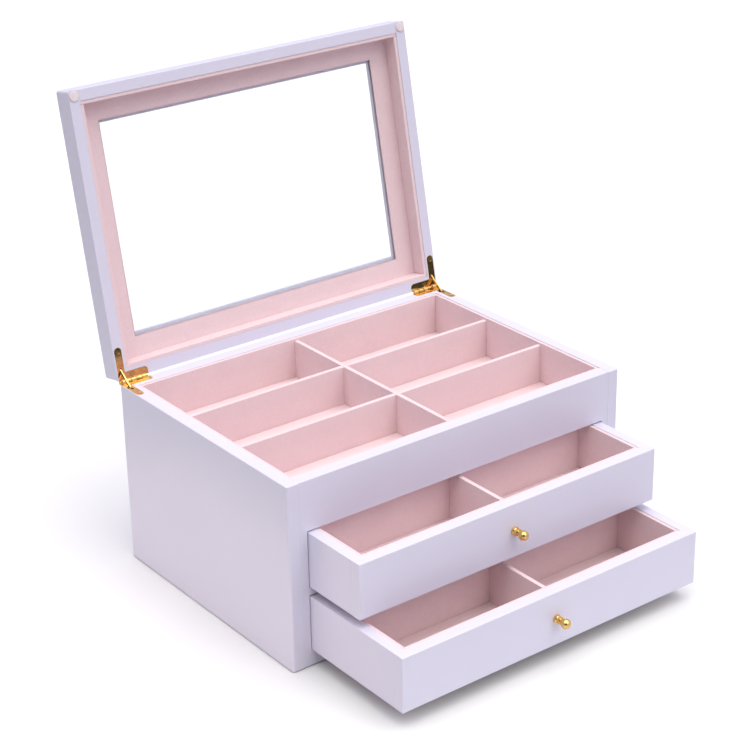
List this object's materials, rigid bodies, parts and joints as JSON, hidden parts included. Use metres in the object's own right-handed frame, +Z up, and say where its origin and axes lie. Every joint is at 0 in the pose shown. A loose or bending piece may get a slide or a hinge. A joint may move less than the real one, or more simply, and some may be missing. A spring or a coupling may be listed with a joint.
{
  "type": "jewelry box",
  "caption": "Lacquered wooden jewelry box with a glass-topped hinged lid, a divided velvet-lined tray and pull-out lined drawers with small ball knobs.",
  "frame": {"origin": "centre of the case's footprint, on the underside of the felt it stands on", "axes": "+Z up, +X to the right seen from the front, the drawers pull out towards -Y and the lid is hinged at the back"},
  "size_m": [0.3398, 0.4362, 0.4019],
  "materials": {
    "white_lacquer": "satin lacquer",
    "plain_board": "thin lacquer on board",
    "pink_velvet": "short-pile velvet",
    "pink_felt": "felt",
    "pale_felt": "felt",
    "polished_brass": "polished, gold coloured",
    "plated_steel": "bright",
    "window_glass": "clear"
  },
  "bodies": {
    "case": {"left_side_panel": "white_lacquer", "right_side_panel": "white_lacquer", "back_panel": "white_lacquer", "front_frame": "white_lacquer", "base_panel": "plain_board", "middle_shelf": "plain_board", "tray_deck": "plain_board", "base_felt": "pale_felt", "drawer_guides": "plain_board", "tray_floor_lining": "pink_velvet", "tray_front_lining": "pink_velvet", "tray_back_lining": "pink_velvet", "tray_left_lining": "pink_velvet", "tray_right_lining": "pink_velvet", "tray_long_divider": "pink_velvet", "tray_front_cross_divider": "pink_velvet", "tray_back_cross_divider": "pink_velvet", "left_hinge_case_leaf": "polished_brass", "right_hinge_case_leaf": "polished_brass", "left_hinge_pin": "polished_brass", "right_hinge_pin": "polished_brass", "case_hinge_screws": "polished_brass"},
    "lid": {"lid_left_rail": "white_lacquer", "lid_right_rail": "white_lacquer", "lid_front_rail": "white_lacquer", "lid_back_rail": "white_lacquer", "lid_top_panel": "white_lacquer", "lid_glass": "window_glass", "lid_lining_mat": "pink_velvet", "lid_wall_linings": "pink_velvet", "lid_bumpers": "pink_felt", "left_hinge_lid_leaf": "polished_brass", "right_hinge_lid_leaf": "polished_brass", "lid_hinge_screws": "polished_brass", "stay_pins": "polished_brass"},
    "upper_drawer": {"upper_drawer_front": "white_lacquer", "upper_drawer_left_side": "white_lacquer", "upper_drawer_right_side": "white_lacquer", "upper_drawer_back": "white_lacquer", "upper_drawer_bottom": "plain_board", "upper_drawer_floor_lining": "pink_velvet", "upper_drawer_wall_linings": "pink_velvet", "upper_drawer_long_divider": "pink_velvet", "upper_drawer_cross_dividers": "pink_velvet", "upper_drawer_knob": "polished_brass", "upper_drawer_knob_screw": "plated_steel"},
    "lower_drawer": {"lower_drawer_front": "white_lacquer", "lower_drawer_left_side": "white_lacquer", "lower_drawer_right_side": "white_lacquer", "lower_drawer_back": "white_lacquer", "lower_drawer_bottom": "plain_board", "lower_drawer_floor_lining": "pink_velvet", "lower_drawer_wall_linings": "pink_velvet", "lower_drawer_long_divider": "pink_velvet", "lower_drawer_cross_dividers": "pink_velvet", "lower_drawer_knob": "polished_brass", "lower_drawer_knob_screw": "plated_steel"},
    "left_stay": {"left_stay": "polished_brass"},
    "right_stay": {"right_stay": "polished_brass"}
  },
  "joints": [
    {"name": "lid_hinge", "type": "hinge", "parent": "case", "child": "lid", "pos_m": [0, 0.1206, 0.16275], "axis": [1, 0, 0], "range_deg": [0, 100.8]},
    {"name": "upper_drawer_slide", "type": "slide", "parent": "case", "child": "upper_drawer", "axis": [0, -1, 0], "range_m": [-0.0638, 0.0962]},
    {"name": "lower_drawer_slide", "type": "slide", "parent": "case", "child": "lower_drawer", "axis": [0, -1, 0], "range_m": [-0.114, 0.046]},
    {"name": "left_stay_pivot", "type": "hinge", "parent": "lid", "child": "left_stay", "pos_m": [-0.1655, 0.12443, 0.17271], "axis": [1, 0, 0], "range_deg": [-50.4, 0]},
    {"name": "right_stay_pivot", "type": "hinge", "parent": "lid", "child": "right_stay", "pos_m": [0.1655, 0.12443, 0.17271], "axis": [1, 0, 0], "range_deg": [-50.4, 0]}
  ],
  "couplings": [
    {"joint": "left_stay_pivot", "follows": "lid_hinge", "ratio": -0.5},
    {"joint": "right_stay_pivot", "follows": "lid_hinge", "ratio": -0.5}
  ]
}
